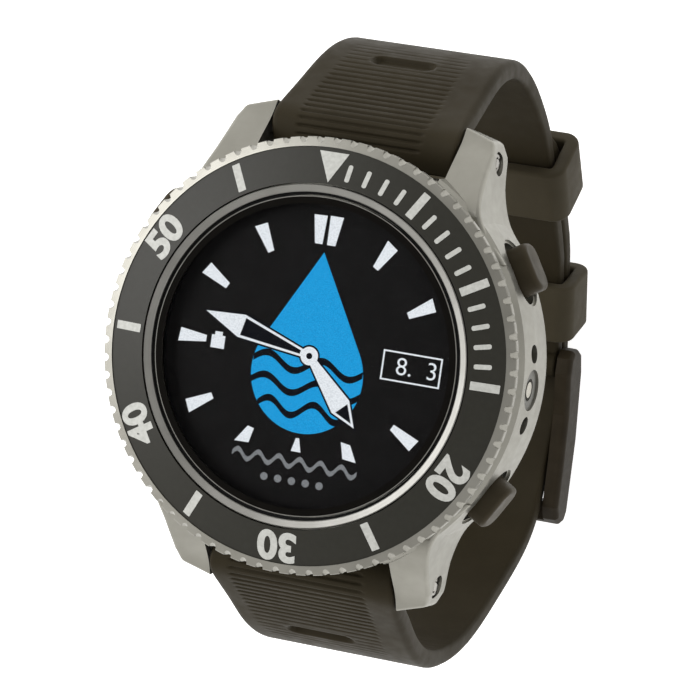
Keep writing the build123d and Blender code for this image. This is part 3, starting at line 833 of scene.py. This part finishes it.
def wall_section(wall, length, radius):
    """Section of the keeper's wall: across its thickness and along the strap."""
    section = []
    for cx, cy, start in ((1, 1, 0), (-1, 1, 90), (-1, -1, 180), (1, -1, 270)):
        for k in range(6):
            a = math.radians(start + 90 * k / 5)
            section.append((cx * (wall / 2 - radius) + radius * math.cos(a),
                            cy * (length / 2 - radius) + radius * math.sin(a)))
    return section


def keeper(anchor, along, reach):
    """Moulded loop round both strap layers."""
    middle = anchor + along * reach
    inward = np.array((along[1], -along[0]))
    half = KEEPER_INNER_HALF + KEEPER_WALL / 2
    thick = LAYER + KEEPER_PLAY + KEEPER_WALL / 2
    points, outs = keeper_route(half, thick, 1.15)
    section = wall_section(KEEPER_WALL, KEEPER_LENGTH, 0.42)
    verts = []
    for point, out in zip(points, outs):
        for off, run in section:
            x, v = point + out * off
            y, z = middle + inward * v + along * run
            verts.append((x, y, z))
    return verts, grid_faces(len(points), len(section), close_rows=True)


def build_keepers():
    """Each keeper, at its reach along one of the straight sections."""
    for name, body, anchor, along, reach in (
        ("keeper_upper", "upper_keeper", BACK_1_START, BACK_1, 5.9),
        ("keeper_lower", "lower_keeper", BACK_CORNER, BACK_2, 6.8),
    ):
        # The keepers take the lighter copy of the strap rubber: painted light on their sides.
        piece = add_piece(name + "_loop", *keeper(anchor, along, reach), KEEPER_PAINTED_LIGHT_RUBBER, body, "strap_rubber")
        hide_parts(name)


# ---------------------------------------------------------------- dial pictures

PICTURE_LIFT = 0.01


def turned_points(points, degrees):
    """Points turned clockwise from 12 o'clock."""
    a = math.radians(degrees)
    return [(x * math.cos(a) + y * math.sin(a), y * math.cos(a) - x * math.sin(a)) for x, y in points]


def hour_markers():
    """Tapered markers: a double one at 12, none at 3 where the date is, short ones near 6."""
    shapes = [[(-1.2, 12.05), (-0.36, 12.05), (-0.2, 15.15), (-1.7, 15.1)]]
    shapes.append([(0.19, 12.05), (1.13, 12.05), (1.65, 15.2), (0.16, 15.2)])
    for hour in (1, 2, 4, 8, 9, 10, 11):
        marker = [(-0.35, 12.0), (0.35, 12.0), (0.75, 15.05), (-0.75, 15.2)]
        shapes.append(turned_points(marker, 30 * hour))
    shapes.append([(-0.18, -8.93), (0.18, -8.93), (0.55, -10.4), (-0.55, -10.4)])
    shapes.append([(4.95, -8.53), (6.02, -8.69), (6.92, -10.46), (5.38, -10.28)])
    shapes.append([(-5.84, -8.53), (-5.12, -8.71), (-5.51, -10.31), (-7.16, -10.34)])
    return shapes


def drop(tip, centre, radius):
    """Water drop outline: a circle drawn out to a point."""
    touch = math.asin(radius / (tip - centre))
    points = [(0, tip)]
    for k in range(41):
        a = touch - (math.pi + 2 * touch) * k / 40
        points.append((radius * math.cos(a), centre + radius * math.sin(a)))
    return points


def wave(y, half, thick, swing, turns):
    """Wavy band across the dial; turns counts half waves."""
    top = []
    for k in range(49):
        x = -half + 2 * half * k / 48
        top.append((x, y + swing * math.sin(turns * math.pi * k / 48)))
    return top + [(x, v - thick) for x, v in reversed(top)]


def framed(lo_x, hi_x, low, high, line):
    """Rectangle outline as four bars."""
    return [
        [(lo_x, high), (hi_x, high), (hi_x, high - line), (lo_x, high - line)],
        [(lo_x, low + line), (hi_x, low + line), (hi_x, low), (lo_x, low)],
        [(lo_x, high), (lo_x + line, high), (lo_x + line, low), (lo_x, low)],
        [(hi_x - line, high), (hi_x, high), (hi_x, low), (hi_x - line, low)],
    ]


def hand(angle, start, base_half, shoulder, shoulder_half, tip):
    """Long kite: a shaft that widens to its shoulders, then an arrow tip."""
    points = [(-base_half, start), (base_half, start), (shoulder_half, shoulder), (0, tip)]
    points.append((-shoulder_half, shoulder))
    return turned_points(points, angle)


def shaft(angle, start, base_half, end, end_half):
    """Dark hollow of a hand's shaft."""
    points = [(-base_half, start), (base_half, start), (end_half, end), (-end_half, end)]
    return turned_points(points, angle)


def round_mark(radius, count=28):
    """Disc about the dial's middle."""
    turns = [2 * math.pi * k / count for k in range(count)]
    return [(radius * math.cos(a), radius * math.sin(a)) for a in turns]


def build_hands(z):
    """White hands with a dark border, stacked above the picture at height z."""
    minute, hour = -76.4, 138
    white = [hand(minute, 0.9, 0.42, 8.4, 1.28, 12.8), hand(hour, 0.6, 0.42, 6.45, 1.2, 9.2)]
    border = [hand(minute, 0.9, 0.62, 8.4, 1.5, 13.2), hand(hour, 0.6, 0.62, 6.45, 1.42, 9.6)]
    border.append(round_mark(1.2))
    flat_piece("hand_borders", border, z + 0.02, DARK_LIT, "display", thickness=0.005)
    flat_piece("hands", white + [round_mark(1.0)], z + 0.03, WHITE_LIT, "display", thickness=0.01)
    hollow = [shaft(minute, 1.1, 0.2, 8.2, 0.98)]
    hollow.append(turned_points([(-0.82, 6.65), (0.82, 6.65), (0, 8.6)], hour))
    flat_piece("hand_hollows", hollow, z + 0.045, DARK_LIT, "display", thickness=0.008)
    flat_piece("hub_dot", [round_mark(0.34)], z + 0.055, DARK_LIT, "display", thickness=0.008)


def thin_ring(name, inner, outer, low, high, mat):
    """Flat ring on the crystal, about the dial's axis."""
    section = [(outer, low), (inner, low), (inner, high), (outer, high)]
    steps = 144
    verts = []
    for k in range(steps):
        a = 2 * math.pi * k / steps
        verts += [(r * math.cos(a), r * math.sin(a), z) for r, z in section]
    faces = grid_faces(steps, len(section), close_rows=True)
    add_piece(name, verts, faces, mat, "case", "crystal_glass", smooth=False)


def build_glass_border():
    """Black border printed round the crystal, and a grey ring on its polished edge that paints the edge's
    bright line: a painted highlight.
    """
    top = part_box("crystal")[1][2] / MM
    thin_ring("crystal_border", 16.35, 17.06, top + 0.005, top + 0.03, BORDER)
    # Grey ring on the polished edge: a painted highlight of its bright line.
    thin_ring("crystal_edge", 17.08, 17.17, top - 0.06, top, PAINTED_EDGE_HIGHLIGHT)


def half_collar(side, lug_y, low, high):
    """Arc of a collar about a spring bar: its section turned from one angle to another."""
    section = [(0.68, 14.2), (1.04, 14.2), (1.04, 14.76), (0.95, 14.85), (0.76, 14.85), (0.68, 14.78)]
    steps = 18
    verts = []
    for k in range(steps + 1):
        a = low + (high - low) * k / steps
        verts += [(side * x, lug_y + r * math.cos(a), LUG_BAR_Z + r * math.sin(a)) for r, x in section]
    count = len(section)
    faces = grid_faces(steps + 1, count)
    faces += [tuple(range(count))[::-1], tuple(range(len(verts) - count, len(verts)))]
    return verts, faces


def build_bar_collars():
    """Slotted steel collar round each spring bar tip, in the counterbore of its lug."""
    arcs = [(math.radians(low), math.radians(high)) for low, high in ((-42, 102), (138, 282))]
    for end, lug_y in (("12h", LUG_BAR_Y), ("6h", -LUG_BAR_Y)):
        for side, word in ((1, "3h"), (-1, "9h")):
            collar = merged(*(half_collar(side, lug_y, low, high) for low, high in arcs))
            name = f"bar_collar_{end}_{word}"
            add_piece(name, *collar, SMALL_STEEL, "case", "spring_steel", smooth=False)


def build_display():
    """The lit picture, as thin pieces just above the panel."""
    z = DISPLAY_Z + PICTURE_LIFT
    flat_piece("hour_markers", hour_markers(), z, WHITE_LIT, "display")
    flat_piece("drop_emblem", [drop(11.2, -2.0, 6.4)], z, BLUE_LIT, "display", thickness=0.01)
    waves = [wave(-0.7, 6.3, 0.75, 0.75, 4), wave(-3.1, 6.3, 0.75, 0.75, 4), wave(-5.5, 5.2, 0.75, 0.75, 4)]
    flat_piece("emblem_waves", waves, z + 0.01, DARK_LIT, "display", thickness=0.005)
    flat_piece("depth_line", [wave(-11.35, 7.2, 0.55, 0.5, 12)], z, GREY_LIT, "display", thickness=0.01)
    dots = [[(x + 1.6 * i, y - 13.6) for x, y in round_mark(0.42, 16)] for i in (-2, -1, 0, 1, 2)]
    flat_piece("depth_dots", dots, z, GREY_LIT, "display", thickness=0.01)
    flat_piece("date_window", framed(8.25, 14.95, -1.13, 2.1, 0.17), z, WHITE_LIT, "display")
    battery = [[(-11.4, 0.55), (-9.85, 0.55), (-9.85, -0.85), (-11.4, -0.85)]]
    battery.append([(-11.05, 0.95), (-10.2, 0.95), (-10.2, 0.55), (-11.05, 0.55)])
    flat_piece("battery_icon", battery, z, WHITE_LIT, "display")
    build_hands(z)


# ---------------------------------------------------------------- bezel scale

NUMERAL_R = 20.42


def insert_height(x, y):
    """Height of the conical insert's face."""
    r = math.hypot(x, y)
    (r0, z0), (r1, z1) = INSERT_EDGE, INSERT_INNER
    return z0 + (z1 - z0) * (r0 - r) / (r0 - r1) + 0.004


def rounded_bar(inner, outer, half, radius):
    """Radial bar at 12 o'clock with rounded corners."""
    corners = [(half - radius, inner + radius, -90), (half - radius, outer - radius, 0),
               (-half + radius, outer - radius, 90), (-half + radius, inner + radius, 180)]
    points = []
    for x, y, start in corners:
        for k in range(4):
            a = math.radians(start + 30 * k)
            points.append((x + radius * math.cos(a), y + radius * math.sin(a)))
    return points


def build_scale():
    """Bars at every fifth minute without a numeral, short ones up to 15, and the zero triangle."""
    shapes = []
    for minute in (5, 10, 15, 25, 35, 45, 55):
        shapes.append(turned_points(rounded_bar(18.95, 22.02, 0.45, 0.06), 6 * minute))
    for minute in list(range(1, 5)) + list(range(6, 10)) + list(range(11, 15)):
        shapes.append(turned_points(rounded_bar(19.15, 21.0, 0.26, 0.2), 6 * minute))
    shapes.append([(-1.68, 22.0), (0, 18.75), (1.68, 22.0)])
    flat_piece("bezel_scale", shapes, 0, MARK_PAINT, "insert_black", "bezel", 0.03, insert_height)


def text_outline_mesh(text, size, weight):
    """A line of digits as a flat mesh, centred, in mm."""
    curve = bpy.data.curves.new("digits", "FONT")
    curve.body = text
    curve.size = size
    curve.offset = weight
    curve.align_x = "CENTER"
    curve.align_y = "CENTER"
    curve.resolution_u = 6
    holder = bpy.data.objects.new("digits", curve)
    mesh = bpy.data.meshes.new_from_object(holder)
    points = [(v.co.x, v.co.y) for v in mesh.vertices]
    faces = [tuple(p.vertices) for p in mesh.polygons]
    bpy.data.objects.remove(holder)
    return points, faces


def build_digits(name, text, size, weight, place, mat, slot, body, height, stretch=1.0):
    """Digits laid on a surface: place(x, y) moves them, height(x, y) lifts them."""
    points, faces = text_outline_mesh(text, size, weight)
    verts = []
    for lift in (0.03, -0.01):
        for x, y in points:
            px, py = place(x * stretch, y)
            verts.append((px, py, height(px, py) + lift))
    count = len(points)
    solid = list(faces) + [tuple(count + k for k in reversed(f)) for f in faces]
    edges = {}
    for f in faces:
        for a, b in zip(f, f[1:] + f[:1]):
            edges[(a, b)] = True
    for a, b in edges:
        if (b, a) not in edges:
            solid.append((a, count + a, count + b, b))
    return add_piece(name, verts, solid, mat, body, slot, smooth=False)


def build_numerals():
    """The bezel's numerals, upright when their minute is at 12 o'clock."""
    for minute in (20, 30, 40, 50):

        def place(x, y, angle=6 * minute):
            return turned_points([(x, y + NUMERAL_R)], angle)[0]

        name = f"numeral_{minute}"
        surface = (MARK_PAINT, "insert_black", "bezel", insert_height)
        build_digits(name, str(minute), 4.35, 0.17, place, *surface, stretch=1.04)


def build_date():
    """Digits in the date window."""

    def at_window(x, y):
        return x + 12.2, y + 0.45

    def level(x, y):
        return DISPLAY_Z + PICTURE_LIFT

    build_digits("date_digits", "8.  3", 2.7, -0.02, at_window, WHITE_LIT, "display", "case", level)


# ---------------------------------------------------------------- build

bpy.context.scene.view_settings.view_transform = "Standard"
add_world()
add_floor()
add_camera()
add_light("key", (-0.62, 0.15, 0.64), size=0.8, power=4.6)
add_light("fill", (0.5, -0.3, 0.5), size=0.9, power=0.6)
dress_nodes()
build_buckle_half()
build_tail_half()
build_keepers()
build_scale()
build_numerals()
build_date()
build_display()
build_glass_border()
build_bar_collars()
